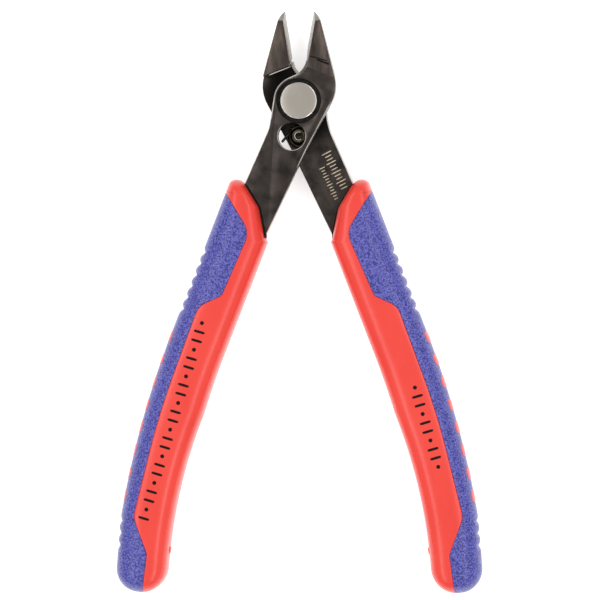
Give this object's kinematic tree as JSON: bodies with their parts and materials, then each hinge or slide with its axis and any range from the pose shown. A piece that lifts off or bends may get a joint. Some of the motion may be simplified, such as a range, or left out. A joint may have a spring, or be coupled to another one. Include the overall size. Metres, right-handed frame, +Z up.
{
  "type": "flush cutter",
  "caption": "Small hand-held flush cutter for electronics leads: dark lap-jointed steel jaws, a spring that opens them, and red and blue two-part grips.",
  "frame": {"origin": "on the surface that the tool lies on, under the middle of its open outline", "axes": "+Y towards the jaw tips, +Z up through the joint, +X towards the right handle"},
  "size_m": [0.076, 0.1208, 0.012],
  "materials": {
    "tool_steel": "dark burnished, bright ground edges",
    "bolt_steel": "satin",
    "spring_steel": "drawn wire, slightly oiled",
    "grip_core": "moulded, soft sheen",
    "grip_cover": "fine moulded texture, matte"
  },
  "bodies": {
    "rear": {"rear_half": "tool_steel", "joint_bolt": "bolt_steel", "joint_nut": "bolt_steel", "joint_washer": "spring_steel", "stop_pin": "bolt_steel", "opening_spring": "spring_steel", "right_grip_core": "grip_core", "right_grip_cover": "grip_cover"},
    "front": {"front_half": "tool_steel", "left_grip_core": "grip_core", "left_grip_cover": "grip_cover"}
  },
  "joints": [
    {"name": "jaw_hinge", "type": "hinge", "parent": "rear", "child": "front", "pos_m": [0, 0.04175, 0.006], "axis": [0, 0, 1], "range_deg": [0, 18], "stiffness_Nm_per_rad": 0.37, "springref_deg": -9.17, "deforming": ["opening_spring"]}
  ]
}
